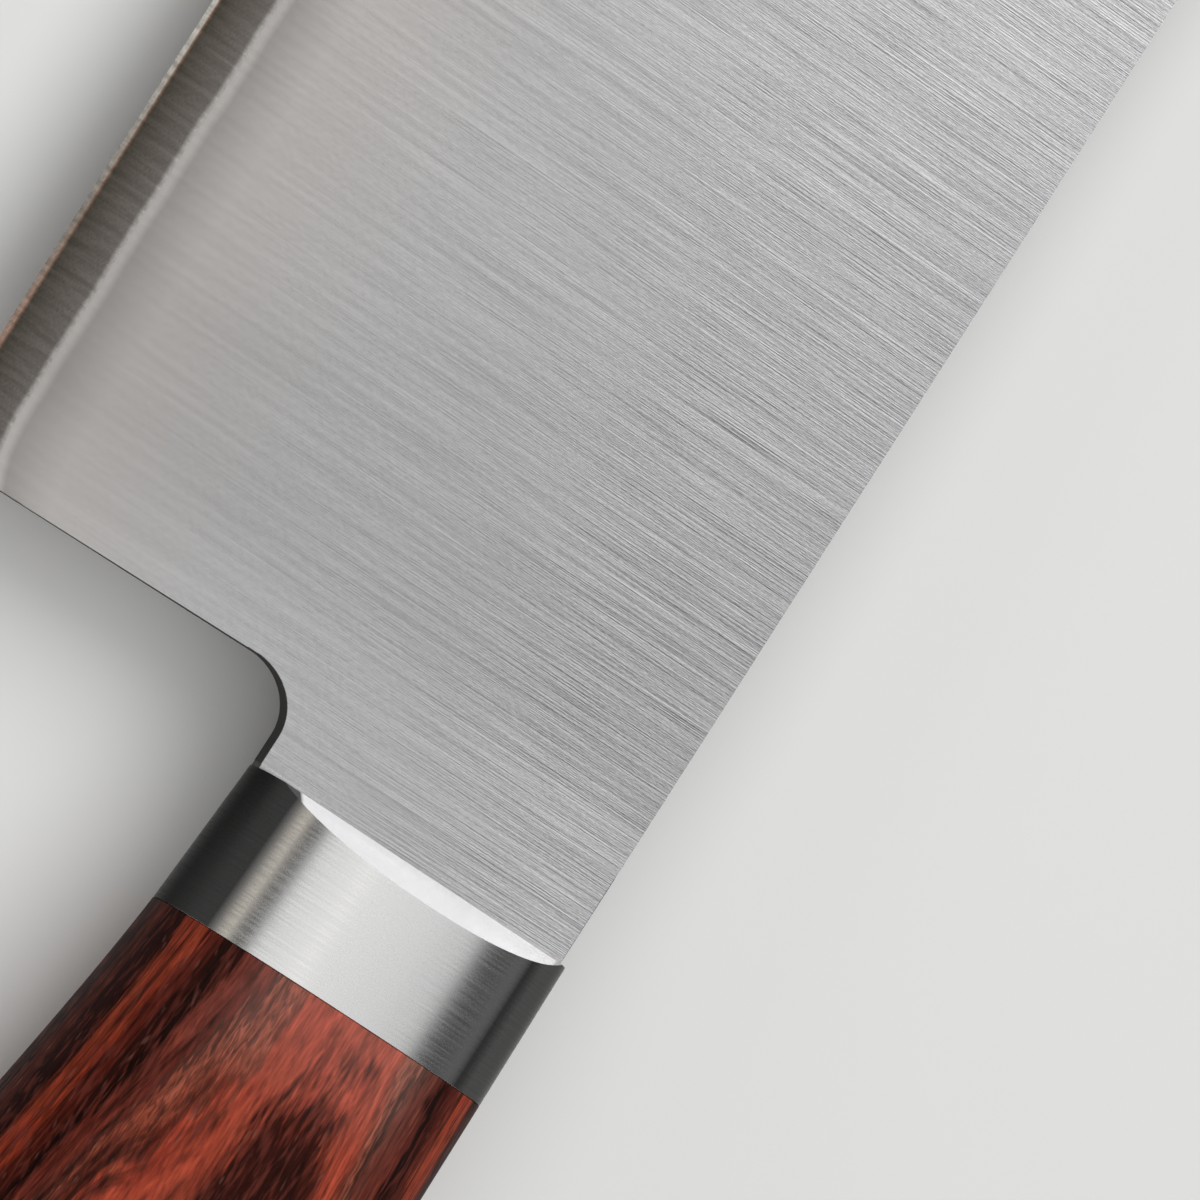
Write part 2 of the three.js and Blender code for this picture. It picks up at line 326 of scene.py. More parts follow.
# satin cladding, brushed from spine to edge; crisp by the neck, softer and warmer towards the edge
claddingFinish = {
    "steel": (0.338, 0.338, 0.341), "nearEdge": (0.346, 0.330, 0.317), "warmRun": (4.0, 24.0),
    "lineWidth": 0.052, "lineLength": 6.0, "contrast": 0.62, "lineDepth": 0.000001,
    "crispFrom": (10.0, 46.0), "crispPower": 2.0,  # depths behind the edge over which the lines come up
    "crispRun": 55.0, "crispGain": 14.2,           # towards the tip they come up nearer the edge
    "bandWidth": 0.36, "bandLength": 9.0, "bandContrast": 0.11, "bandLeast": 0.25, "bandRise": (10.0, 28.0),
    "cloudScale": (0.35, 0.06, 0.06), "cloudContrast": 0.03,
    # painted light: the steel brighter by the neck, a little darker past it
    "neckLight": 1.10, "neckRun": (5.0, 14.0), "dimPastNeck": 0.96, "pastNeckRun": (15.0, 34.0),
    "lipRun": 5.0,  # a painted highlight along the cladding line, a dip behind it, then up to the full satin
    "lip": ((0.0, 0.96), (0.03, 1.0), (0.07, 0.99), (0.16, 0.71), (0.33, 0.79), (0.55, 0.9), (0.8, 1.0)),
    "shadedWallFrom": (0.2, 0.4), "roughness": (0.24, 0.30),
}


def claddingSteel():
    material, tree, shader = startMaterial("satinCladding")
    finish = claddingFinish
    place = knifeCoords(tree)
    along = splitOf(tree, place)["X"]
    fromEdge = depthOf(tree, "fromEdge")
    fromLine = depthOf(tree, "fromLine")
    brushed = brushedIn(tree, place, finish["lineWidth"], finish["lineLength"])
    bands = brushedIn(tree, place, finish["bandWidth"], finish["bandLength"])["Lines"]
    warm = remap(tree, fromEdge, *finish["warmRun"], 0.0, 1.0, "SMOOTHSTEP")
    steel = mixColour(tree, warm, (*finish["nearEdge"], 1), (*finish["steel"], 1))

    # hairlines, broad bands, scratches and clouds all change the level of the steel, and so does a painted
    # light by the neck
    towardsTip = remap(tree, along, 0.0, finish["crispRun"], 0.0, finish["crispGain"])
    crisp = mathOf(tree, "ADD", fromEdge, towardsTip)
    lineShare = remap(tree, crisp, *finish["crispFrom"], 0.0, 1.0)
    lineShare = mathOf(tree, "POWER", lineShare, finish["crispPower"])
    contrast = mathOf(tree, "MULTIPLY", lineShare, finish["contrast"])
    hairlines = mathOf(tree, "MULTIPLY", remap(tree, brushed["Lines"], 0.0, 1.0, -1.0, 1.0), contrast)
    bandLeast = finish["bandLeast"] * finish["bandContrast"]
    bandShare = remap(tree, crisp, *finish["bandRise"], bandLeast, finish["bandContrast"])
    broad = mathOf(tree, "MULTIPLY", remap(tree, bands, 0.0, 1.0, -1.0, 1.0), bandShare)
    shade = mathOf(tree, "ADD", hairlines, broad)
    marks = mathOf(tree, "MULTIPLY", brushed["Scratches"], contrast)
    cloud = noiseOf(tree, stretched(tree, place, finish["cloudScale"]))
    clouds = remap(tree, cloud, *noiseSpan, -finish["cloudContrast"], finish["cloudContrast"])
    # painted light: brighter by the neck, a little darker past it
    dimPastNeck = remap(tree, along, *finish["pastNeckRun"], finish["dimPastNeck"], 1.0, "SMOOTHSTEP")
    paintedNeckLight = remap(tree, along, *finish["neckRun"], finish["neckLight"], dimPastNeck, "SMOOTHSTEP")
    level = sumOf(tree, shade, marks, clouds, paintedNeckLight)

    # painted highlight along the cladding line, darker just behind it
    lipStops = [(share, (tone,) * 3) for share, tone in finish["lip"]]
    lip = rampOf(tree, remap(tree, fromLine, 0.0, finish["lipRun"], 0.0, 1.0), lipStops)
    face = mixColour(tree, 1.0, scaledColour(tree, steel, level), lip, "MULTIPLY")
    # painted shade on the walls, away from the cladding line
    onShadedWall = mathOf(tree, "MULTIPLY", wallShadeShare(tree), remap(tree, fromLine, *finish["shadedWallFrom"], 0.0, 1.0))
    shadedWallAndFace(tree, shader, onShadedWall, face)
    low, high = finish["roughness"]
    satin = remap(tree, shade, -finish["contrast"], finish["contrast"], high, low)
    feed(tree, shader.inputs["Roughness"], remap(tree, onShadedWall, 0.0, 1.0, satin, wallShadeFinish["roughness"]))
    height = mathOf(tree, "MULTIPLY", brushed["Lines"], lineShare)
    feed(tree, shader.inputs["Normal"], bumpFrom(tree, height, finish["lineDepth"]))
    return material


# ground bevel of the core: the edge painted bright as a highlight with a copper line behind it, then dark,
# and a paler painted highlight at the cladding
coreFinish = {
    "bevelRun": 4.0,
    "bevel": (
        (0.0, (0.15, 0.088, 0.062)), (0.09, (0.15, 0.088, 0.062)), (0.12, (0.050, 0.0445, 0.036)),
        (0.45, (0.088, 0.078, 0.068)), (0.8, (0.118, 0.107, 0.098)),
    ),
    "edgeRun": 40, "edgeDepth": (0.26, 0.36),  # the edge turns from copper to bright along this run
    "edge": ((0.2, (0.25, 0.172, 0.134)), (0.42, (0.195, 0.170, 0.148)), (0.82, (0.41, 0.395, 0.36))),
    "lineHighlight": (0.30, 0.29, 0.275), "lineRun": 0.4,
    "lineWidth": 0.3, "lineLength": 2.5, "streaks": (0.76, 1.22), "scratches": 0.15,
    "shadedWallFrom": (0.5, 1.0), "roughness": (0.22, 0.34),
}


def coreSteel():
    material, tree, shader = startMaterial("groundCore")
    finish = coreFinish
    place = knifeCoords(tree)
    fromEdge = depthOf(tree, "fromEdge")
    brushed = brushedIn(tree, place, finish["lineWidth"], finish["lineLength"])
    bevel = rampOf(tree, remap(tree, fromEdge, 0.0, finish["bevelRun"], 0.0, 1.0), finish["bevel"])
    # the edge painted bright as a highlight, copper by the heel
    beyondHeel = remap(tree, splitOf(tree, place)["X"], heelX, heelX + finish["edgeRun"], 0.0, 1.0)
    edge = rampOf(tree, beyondHeel, finish["edge"])
    steel = mixColour(tree, remap(tree, fromEdge, *finish["edgeDepth"], 1.0, 0.0), bevel, edge)
    # painted highlight towards the cladding line
    toLine = remap(tree, depthOf(tree, "fromLine"), -finish["lineRun"], 0.0, 0.0, 1.0, "SMOOTHSTEP")
    steel = mixColour(tree, toLine, steel, (*finish["lineHighlight"], 1))
    marks = mathOf(tree, "MULTIPLY", brushed["Scratches"], finish["scratches"])
    streaks = mathOf(tree, "ADD", remap(tree, brushed["Lines"], 0.0, 1.0, *finish["streaks"]), marks)
    # painted shade on the walls, away from the edge
    onShadedWall = mathOf(tree, "MULTIPLY", wallShadeShare(tree), remap(tree, fromEdge, *finish["shadedWallFrom"], 0.0, 1.0))
    shadedWallAndFace(tree, shader, onShadedWall, scaledColour(tree, steel, streaks))
    low, high = finish["roughness"]
    satin = remap(tree, brushed["Lines"], 0.0, 1.0, high, low)
    feed(tree, shader.inputs["Roughness"], remap(tree, onShadedWall, 0.0, 1.0, satin, wallShadeFinish["roughness"]))
    return material


# ferrule: fine brushing round the oval, painted shade on its narrow sides, a painted light on the crown
# towards the edge side, the front bevel polished bright
ferruleFinish = {
    "dark": (0.575, 0.575, 0.575), "light": (0.64, 0.636, 0.628), "lineWidth": 0.12, "lineLength": 3.5,
    "bevel": (0.95, 0.945, 0.95), "bevelFrom": (0.6, 0.8), "bevelEndY": 9.1, "bevelEndSoft": 0.15,
    "acrossFrom": (-0.1, 0.3), "across": (0.85, 1.1),
    "edgeSide": (0.60, 0.73), "shadeEdgeFrom": (0.72, 0.98), "shadeEdge": (0.115, 0.035),
    "spineSide": (-0.56, -0.40), "shadeSpineFrom": (-0.66, -0.58), "shadeSpine": (0.155, 0.085),
    "middle": (-0.1, 0.1), "roughness": (0.21, 0.30), "bevelRoughness": 0.16, "tint": (0.55, 0.55, 0.55, 1),
}


def ferruleSteel():
    material, tree, shader = startMaterial("polishedFerrule")
    finish = ferruleFinish
    place = knifeCoords(tree)
    facing = knifeNormal(tree)
    lines = brushedIn(tree, place, finish["lineWidth"], finish["lineLength"])["Lines"]
    brushed = mixColour(tree, lines, (*finish["dark"], 1), (*finish["light"], 1))
    onBevel = remap(tree, facing["X"], *finish["bevelFrom"], 0.0, 1.0)
    endY, soft = finish["bevelEndY"], finish["bevelEndSoft"]
    pastEnd = remap(tree, splitOf(tree, place)["Y"], endY - soft, endY + soft, 0.0, 1.0)
    # painted shade: the narrow sides, and the bevel past its end, are darkened by their facing
    edgeSide = remap(tree, facing["Y"], *finish["edgeSide"], 0.0, 1.0)
    spineSide = remap(tree, facing["Y"], *finish["spineSide"], 1.0, 0.0)
    onSide = mathOf(tree, "MAXIMUM", edgeSide, spineSide)
    onSide = mathOf(tree, "MAXIMUM", onSide, mathOf(tree, "MULTIPLY", onBevel, pastEnd))
    # painted light: the crown lighter towards the edge side, darker towards the spine
    across = remap(tree, facing["Y"], *finish["acrossFrom"], *finish["across"])
    shadeEdge = remap(tree, facing["Y"], *finish["shadeEdgeFrom"], *finish["shadeEdge"])
    shadeSpine = remap(tree, facing["Y"], *finish["shadeSpineFrom"], *finish["shadeSpine"])
    sideShade = remap(tree, facing["Y"], *finish["middle"], shadeSpine, shadeEdge)
    colour = scaledColour(tree, brushed, remap(tree, onSide, 0.0, 1.0, across, sideShade))
    polished = mathOf(tree, "MULTIPLY", onBevel, mathOf(tree, "SUBTRACT", 1.0, pastEnd))
    feed(tree, shader.inputs["Base Color"], mixColour(tree, polished, colour, (*finish["bevel"], 1)))
    shader.inputs["Metallic"].default_value = 1.0
    low, high = finish["roughness"]
    rough = remap(tree, lines, 0.0, 1.0, high, low)
    feed(tree, shader.inputs["Roughness"], remap(tree, polished, 0.0, 1.0, rough, finish["bevelRoughness"]))
    shader.inputs["Specular Tint"].default_value = finish["tint"]
    return material


# dyed plies from the middle of the handle outwards, alike on both halves
woodFinish = {
    "crownLean": 0.045, "flankLean": -0.015, "leanFrom": (3.0, 8.0),
    "heartY": -1.8, "heartHalf": 3.7, "heartRise": 0.44,  # the plies dip here, so the dark one shows
    "heartRun": (-18.0, -11.0), "heartByFerrule": 0.3,
    "warpBroad": 0.25, "warpBlotch": 0.20, "warpFine": 0.11, "warpFibre": 0.13,
    "stackHalf": 11.0, "softest": 0.32, "softShare": 0.6,
    "plies": (  # where each ends (mm), its colour
        (1.3, (0.018, 0.006, 0.0045)), (2.8, (0.075, 0.017, 0.010)), (4.5, (0.024, 0.0055, 0.004)),
        (5.95, (0.34, 0.066, 0.031)), (6.75, (0.105, 0.021, 0.013)), (7.25, (0.013, 0.005, 0.004)),
        (7.98, (0.20, 0.052, 0.036)), (8.10, (0.105, 0.046, 0.035)), (8.22, (0.34, 0.115, 0.074)),
        (8.31, (0.155, 0.058, 0.042)), (8.43, (0.37, 0.118, 0.074)), (8.53, (0.21, 0.064, 0.042)),
        (9.21, (0.45, 0.100, 0.060)), (9.95, (0.052, 0.012, 0.008)), (10.5, (0.40, 0.078, 0.043)),
        (11.0, (0.06, 0.014, 0.009)),
    ),
    "grains": {  # noise in the stack of plies: scale, shift, detail
        "blotch": ((0.07, 0.35, 0.8), (5.5, 1.2, 7.1), 3.0),
        "fine": ((0.30, 1.4, 3.0), (2.9, 8.8, 3.6), 2.0),
        "figure": ((0.05, 0.18, 3.2), (4.2, 1.1, 0.3), 3.0),
        "red": ((0.06, 0.25, 0.6), (8.2, 3.1, 6.6), 2.0),
        "dark": ((0.06, 0.25, 2.2), (1.7, 5.2, 8.1), 3.0),
        "thin": ((0.05, 0.3, 4.6), (6.4, 0.9, 2.7), 3.0),
        "fibres": ((0.35, 1.2, 8.0), (0, 0, 0), 3.0),
    },
    "grainRoughness": 0.6,
    "spots": {  # noise in the handle itself: scale, shift, detail
        "bend": ((0.03, 0.12, 0.12), (0, 0, 0), 1.0),
        "ragged": ((0.5, 4.2, 4.2), (1.4, 7.9, 5.1), 2.0),
        "mottle": ((0.7, 6.0, 6.0), (3.3, 0.6, 9.2), 3.0),
        "flecks": ((0.55, 2.0, 2.0), (6.1, 4.4, 0.8), 2.0),
        "embers": ((0.45, 3.0, 3.0), (2.2, 9.6, 7.4), 2.0),
        "glints": ((0.9, 3.6, 3.6), (9.3, 2.6, 3.3), 0.0),
    },
    "figureShade": (0.50, 1.12), "redder": (1.0, 0.74, 0.72),
    "streak": (0.020, 0.006, 0.0045), "darkFrom": (0.66, 1.0), "darkShare": 0.8,
    "thinFrom": (0.55, 0.85), "flank": (4.5, 7.5), "thinShare": 0.8,
    "behind": (0.82, 0.68, 0.60), "behindRun": (-13.0, -21.0),
    "fibreShade": (0.74, 1.22), "mottleShade": (0.74, 1.26), "fleckFrom": (0.52, 0.70), "fleckShade": 0.62,
    "ember": (0.150, 0.034, 0.024), "emberFrom": (0.50, 0.68), "emberShare": 0.55,
    "pale": (0.22, 0.10, 0.08), "glintFrom": (0.70, 0.90), "glintShare": 0.32,
    "paintedSheen": (0.55, 0.50, 0.46), "sheenShare": 0.07, "sheenFrom": (7.4, 8.4), "sheenRun": (-17.0, -10.5),
    "roughness": (0.46, 0.62), "gloss": 0.04, "poreDepth": 0.000012, "poreStrength": 0.5,
}


def woodSpots(tree, place, name):
    scale, shift, detail = woodFinish["spots"][name]
    return noiseOf(tree, stretched(tree, place, scale, shift), detail)


# height in the stack of plies, which leans, dips at the heart and bends a little along the handle
def plyLevel(tree, place, axes, aside):
    finish = woodFinish
    lean = remap(tree, aside, *finish["leanFrom"], finish["crownLean"], finish["flankLean"])
    level = mathOf(tree, "SUBTRACT", axes["Z"], mathOf(tree, "MULTIPLY", axes["Y"], lean))
    fromHeart = mathOf(tree, "ABSOLUTE", mathOf(tree, "SUBTRACT", axes["Y"], finish["heartY"]))
    heart = remap(tree, fromHeart, 0.0, finish["heartHalf"], finish["heartRise"], 0.0, "SMOOTHSTEP")
    heartShare = remap(tree, axes["X"], *finish["heartRun"], 1.0, finish["heartByFerrule"])
    broad = finish["warpBroad"]
    bend = remap(tree, woodSpots(tree, place, "bend"), *noiseSpan, -broad, broad)
    return sumOf(tree, level, mathOf(tree, "MULTIPLY", heart, heartShare), bend)


# neighbouring plies run into each other over a short soft stretch
def plyStops():
    stops = []
    start = 0.0
    for end, colour in woodFinish["plies"]:
        soft = min(woodFinish["softest"], woodFinish["softShare"] * (end - start)) / 2
        stops.append(((start + soft) / woodFinish["stackHalf"], colour))
        stops.append(((end - soft) / woodFinish["stackHalf"], colour))
        start = end
    return stops


def laminatedWood():
    material, tree, shader = startMaterial("laminatedRedWood")
    finish = woodFinish
    place = knifeCoords(tree)
    axes = splitOf(tree, place)
    aside = mathOf(tree, "ABSOLUTE", axes["Y"])
    level = plyLevel(tree, place, axes, aside)
    stack = addNode(tree, "ShaderNodeCombineXYZ")
    for axis, value in (("X", axes["X"]), ("Y", axes["Y"]), ("Z", level)):
        feed(tree, stack.inputs[axis], value)

    # noise that is long in the ply and thin through the stack: it streaks the flanks and clouds the crown
    def grain(name, low=0.0, high=1.0):
        scale, shift, detail = finish["grains"][name]
        inStack = stretched(tree, stack.outputs[0], scale, shift)
        spread = noiseOf(tree, inStack, detail, finish["grainRoughness"])
        return remap(tree, spread, *noiseSpan, low, high)
    blotch = grain("blotch", -finish["warpBlotch"], finish["warpBlotch"])
    fine = grain("fine", -finish["warpFine"], finish["warpFine"])
    ragged = woodSpots(tree, place, "ragged")
    fibre = remap(tree, ragged, *noiseSpan, -finish["warpFibre"], finish["warpFibre"])
    inPly = mathOf(tree, "ABSOLUTE", sumOf(tree, level, blotch, fine, fibre))
    colour = rampOf(tree, mathOf(tree, "DIVIDE", inPly, finish["stackHalf"]), plyStops())

    # dark and red figure in the plies; the flanks cut through them, so thin dark streaks show there
    colour = scaledColour(tree, colour, remap(tree, grain("figure"), 0.0, 1.0, *finish["figureShade"]))
    colour = mixColour(tree, grain("red"), colour, (*finish["redder"], 1), "MULTIPLY")
    darkShare = remap(tree, grain("dark"), *finish["darkFrom"], 0.0, finish["darkShare"])
    colour = mixColour(tree, darkShare, colour, (*finish["streak"], 1))
    onFlank = remap(tree, aside, *finish["flank"], 0.0, finish["thinShare"])
    thinShare = mathOf(tree, "MULTIPLY", remap(tree, grain("thin"), *finish["thinFrom"], 0.0, 1.0), onFlank)
    colour = mixColour(tree, thinShare, colour, (*finish["streak"], 1))
    # painted shade: the handle darker further back from the ferrule
    behind = remap(tree, axes["X"], *finish["behindRun"], 0.0, 1.0)
    colour = mixColour(tree, behind, colour, (*finish["behind"], 1), "MULTIPLY")

    # fibres, pores, red flecks in the dark plies and a few pale dashes of painted glint
    fibres = grain("fibres")
    mottle = woodSpots(tree, place, "mottle")
    fibreShade = remap(tree, fibres, 0.0, 1.0, *finish["fibreShade"])
    mottleShade = remap(tree, mottle, *noiseSpan, *finish["mottleShade"])
    colour = scaledColour(tree, colour, mathOf(tree, "MULTIPLY", fibreShade, mottleShade))
    flecks = woodSpots(tree, place, "flecks")
    fleckShade = remap(tree, flecks, *finish["fleckFrom"], 1.0, finish["fleckShade"])
    colour = scaledColour(tree, colour, fleckShade)
    embers = woodSpots(tree, place, "embers")
    emberShare = remap(tree, embers, *finish["emberFrom"], 0.0, finish["emberShare"])
    colour = mixColour(tree, emberShare, colour, (*finish["ember"], 1), "LIGHTEN")
    # painted glints: a few short pale dashes
    glints = woodSpots(tree, place, "glints")
    glintShare = remap(tree, glints, *finish["glintFrom"], 0.0, finish["glintShare"], "SMOOTHSTEP")
    colour = mixColour(tree, glintShare, colour, (*finish["pale"], 1))

    # painted sheen: the crown beside the ferrule is veiled a little paler
    crown = remap(tree, axes["Z"], *finish["sheenFrom"], 0.0, finish["sheenShare"])
    paintedSheen = mathOf(tree, "MULTIPLY", crown, remap(tree, axes["X"], *finish["sheenRun"], 0.0, 1.0))
    feed(tree, shader.inputs["Base Color"], mixColour(tree, paintedSheen, colour, (*finish["paintedSheen"], 1)))
    low, high = finish["roughness"]
    feed(tree, shader.inputs["Roughness"], remap(tree, fibres, 0.0, 1.0, high, low))
    shader.inputs["Specular IOR Level"].default_value = finish["gloss"]
    feed(tree, shader.inputs["Normal"], bumpFrom(tree, mottle, finish["poreDepth"], finish["poreStrength"]))
    return material


# blade outline and grind
def edgeY(x):
    rise = (max(x, heelX) - heelX - blade["flatFromHeel"]) / (blade["length"] - blade["flatFromHeel"])
    return spineY + blade["height"] - blade["rocker"] * rise ** 2


def claddingLineY(x):
    heelShare = min(max(0.0, 1 - (x - heelX) / cladding["heelRun"]), 1.0)
    wave = sum(size * math.sin(rate * x + start) for size, rate, start in cladding["waves"])
    return edgeY(x) - cladding["lineHeight"] - cladding["heelRise"] * heelShare ** 2 + wave


def arcPoints(centre, radii, fromTurn, toTurn, steps):
    points = []
    for step in range(steps + 1):
        turn = math.radians(lerp(fromTurn, toTurn, step / steps))
        points.append((centre[0] + radii[0] * math.cos(turn), centre[1] + radii[1] * math.sin(turn)))
    return points


# the heel leans back from the top of the notch to its corner at the edge
def heelLineX(y):
    notchTopY = neckBottomY + blade["notchRise"]
    return lerp(heelX + blade["heelLean"], heelX, (y - notchTopY) / (edgeY(heelX) - notchTopY))


def bladeOutline(lowerEdge):
    tip = blade["tipRadius"]
    rise = blade["notchRise"]
    run = blade["notchRun"]
    notchCentre = (heelX + blade["heelLean"] - run, neckBottomY + rise)
    points = [(tangEndX, -blade["tangEndHeight"] / 2)]
    points += [(blade["shoulder"], -blade["tangHeight"] / 2), (blade["shoulder"], spineY)]
    points += arcPoints((tipX - tip, spineY + tip), (tip, tip), -90, 0, blade["tipSteps"])
    points += lowerEdge
    points += arcPoints(notchCentre, (run, rise), 0, -90, blade["notchSteps"])
    points += [(blade["shoulder"], neckBottomY), (blade["shoulder"], blade["tangHeight"] / 2)]
    points += [(tangEndX, blade["tangEndHeight"] / 2)]
    return points


def halfThickness(x, y):
    lineY = edgeY(x) - cladding["lineHeight"]
    grindY = spineY + blade["grindFromSpine"]
    share = min(max((y - grindY) / (lineY - grindY), 0.0), 1.0)
    half = lerp(blade["thickness"] / 2, lineHalf, share ** blade["grindPower"])
    if y > lineY:
        bevelY = edgeY(x) - core["microBevel"]
        if y < bevelY:
            half = lerp(lineHalf, core["bevelThickness"] / 2, (y - lineY) / (bevelY - lineY))
        else:
            share = min((y - bevelY) / core["microBevel"], 1.0)
            half = lerp(core["bevelThickness"] / 2, core["edgeThickness"] / 2, share)
    return half


def cutAt(bm, axis, places):
    for place in places:
        point = [0, 0, 0]
        normal = [0, 0, 0]
        point[axis] = place
        normal[axis] = 1
        everything = bm.verts[:] + bm.edges[:] + bm.faces[:]
        bmesh.ops.bisect_plane(bm, geom=everything, plane_co=point, plane_no=normal, dist=onCut)


def flatSheet(points):
    bm = bmesh.new()
    corners = [bm.verts.new((x, y, 0)) for x, y in points]
    bm.faces.new(corners)
    return bm


def thicken(bm, lowZ, highZ):
    lows = bm.verts[:]
    grown = bmesh.ops.extrude_face_region(bm, geom=bm.faces[:])
    highs = [item for item in grown["geom"] if isinstance(item, bmesh.types.BMVert)]
    for vert in highs:
        vert.co.z = highZ(vert.co.x, vert.co.y)
    for vert in lows:
        vert.co.z = lowZ(vert.co.x, vert.co.y)
    return highs


def easeRim(bm, highs, keep):
    onTop = set(highs)
    rim = []
    for edge in bm.edges:
        if not all(vert in onTop for vert in edge.verts) or not keep(edge):
            continue
        tops = [face for face in edge.link_faces if all(vert in onTop for vert in face.verts)]
        if len(tops) == 1:
            rim.append(edge)
    bmesh.ops.bevel(bm, geom=rim, offset=blade["rimEase"], segments=blade["rimSegments"], profile=0.5,
                    affect="EDGES")


# one row where the grind starts, the rest past the notch, so that none cuts its curve into short bits
def grindRows():
    low = neckBottomY + blade["notchRise"] + blade["rowsPastNotch"]
    high = edgeY(heelX + blade["flatFromHeel"]) - cladding["lineHeight"] - cladding["heelRise"]
    rows = [lerp(low, high, step / (blade["rows"] - 1)) for step in range(blade["rows"])]
    return [spineY + blade["grindFromSpine"]] + rows


def columnPlaces():
    return [lerp(heelX, tipX, step / blade["columns"]) for step in range(1, blade["columns"])]


# how far each point lies behind the cutting edge and behind the cladding line, for the finishes
def markDepths(bm):
    edgeLayer = bm.verts.layers.float.new("fromEdge")
    lineLayer = bm.verts.layers.float.new("fromLine")
    for vert in bm.verts:
        vert[edgeLayer] = edgeY(vert.co.x) - vert.co.y
        vert[lineLayer] = claddingLineY(vert.co.x) - vert.co.y


def makeCladding(name, node, side, material):
    along = [tipX] + list(reversed(columnPlaces())) + [heelLineX(claddingLineY(heelX))]
    bm = flatSheet(bladeOutline([(x, claddingLineY(x)) for x in along]))
    cutAt(bm, 1, grindRows())
    cutAt(bm, 0, columnPlaces())
    innerZ = core["thickness"] / 2 - cladding["overlap"]
    lineZ = core["thickness"] / 2 + cladding["overlap"]

    # at its line the cladding runs out onto the core, so that no wall shows there
    def outerZ(x, y):
        half = halfThickness(x, y)
        if x > heelX:
            half = min(half, lineZ + cladding["runOut"] * max(claddingLineY(x) - y, 0.0))
        return side * half
    highs = thicken(bm, lambda x, y: side * innerZ, outerZ)

    def isRim(edge):
        middle = (edge.verts[0].co + edge.verts[1].co) / 2
        pastShoulder = middle.x > blade["shoulder"] + blade["rimFromShoulder"]
        return pastShoulder and middle.y < claddingLineY(middle.x) - blade["rimFromLine"]
    easeRim(bm, highs, isRim)
    markDepths(bm)
    knifePiece(name, bm, material, node, cladding["sharpAngle"])


def makeCore(material):
    radius = blade["toeRadius"]
    toeX = tipX - radius
    toe = arcPoints((toeX, edgeY(toeX) - radius), (radius, radius), 0, blade["toeTurn"], blade["toeSteps"])
    along = [toeX] + [x for x in reversed(columnPlaces()) if x < toeX] + [heelX]
    bm = flatSheet(bladeOutline(toe + [(x, edgeY(x)) for x in along]))
    cutAt(bm, 1, [edgeY(heelX + blade["flatFromHeel"]) - depth for depth in core["rowDepths"]])
    cutAt(bm, 0, columnPlaces())

    def half(x, y):
        return min(core["thickness"] / 2, halfThickness(x, y))
    thicken(bm, lambda x, y: -half(x, y), half)
    markDepths(bm)
    knifePiece("bladeCore", bm, material, "blade_core")


# ferrule and handle ovals
ferrule = {
    "length": 9.85, "wall": 1.2, "frontWall": 2.5, "bevelStart": 4.1, "bevelAngle": 20.5,
    "front": {"back": 0, "height": 22.9, "thickness": 17, "drop": 0},
    "rear": {"height": 23.6, "thickness": 17.8, "drop": 0.25},
    "sides": 192, "steps": 8, "rimEase": 0.04, "sharpAngle": 12,
}
ferrule["rear"]["back"] = ferrule["length"]
handle = {
    "length": 118, "buttRadius": 6, "squareness": 2.2, "sides": 144, "steps": 96, "buttSteps": 14,
    "frontEase": 0.03, "seatGap": 0.02, "tenonGap": 0.1,
    "swell": {"back": 47, "height": 28.2, "thickness": 20.5, "drop": 2.3},
    "waist": {"back": 84, "height": 25.6, "thickness": 18.6, "drop": 1.2},
    "butt": {"back": 109, "height": 27.8, "thickness": 20, "drop": 2},
}


# a point on a circle that is squared off: 2 is round, more is squarer
def squaredTurn(turn, squareness):
    power = 2 / squareness
    across = math.copysign(abs(math.cos(turn)) ** power, math.cos(turn))
    up = math.copysign(abs(math.sin(turn)) ** power, math.sin(turn))
    return across, up


def ovalPoint(turn, size, inset=0.0):
    across, up = squaredTurn(turn, handle["squareness"])
    return (size["drop"] + (size["height"] / 2 - inset) * across, (size["thickness"] / 2 - inset) * up)


def ovalRing(bm, x, size, sides, inset=0.0):
    ring = []
    for side in range(sides):
        y, z = ovalPoint(2 * math.pi * side / sides, size, inset)
        ring.append(bm.verts.new((x, y, z)))
    return ring


def skin(bm, rings):
    for first, second in zip(rings, rings[1:]):
        for side in range(len(first)):
            after = (side + 1) % len(first)
            bm.faces.new((first[side], first[after], second[after], second[side]))
    bm.faces.new(list(reversed(rings[0])))
    bm.faces.new(rings[-1])


def mixSizes(first, second, share):
    return {key: lerp(first[key], second[key], share) for key in ("height", "thickness", "drop")}


# smooth curves through the stops: at each stop the slope is the mean of its two sides
def sizeAt(back, key):
    stops = [ferrule["front"], ferrule["rear"], handle["swell"], handle["waist"], handle["butt"]]
    back = min(back, stops[-1]["back"])
    rates = [(b[key] - a[key]) / (b["back"] - a["back"]) for a, b in zip(stops, stops[1:])]
    slopes = [rates[0]] + [(a + b) / 2 for a, b in zip(rates, rates[1:])] + [rates[-1]]
    index = max(i for i in range(len(stops) - 1) if stops[i]["back"] <= back)
    first, second = stops[index], stops[index + 1]
    span = second["back"] - first["back"]
    t = (back - first["back"]) / span
    return ((2 * t ** 3 - 3 * t ** 2 + 1) * first[key] + (t ** 3 - 2 * t ** 2 + t) * span * slopes[index]
            + (3 * t ** 2 - 2 * t ** 3) * second[key] + (t ** 3 - t ** 2) * span * slopes[index + 1])


def handleSize(back):
    return {key: sizeAt(back, key) for key in ("height", "thickness", "drop")}


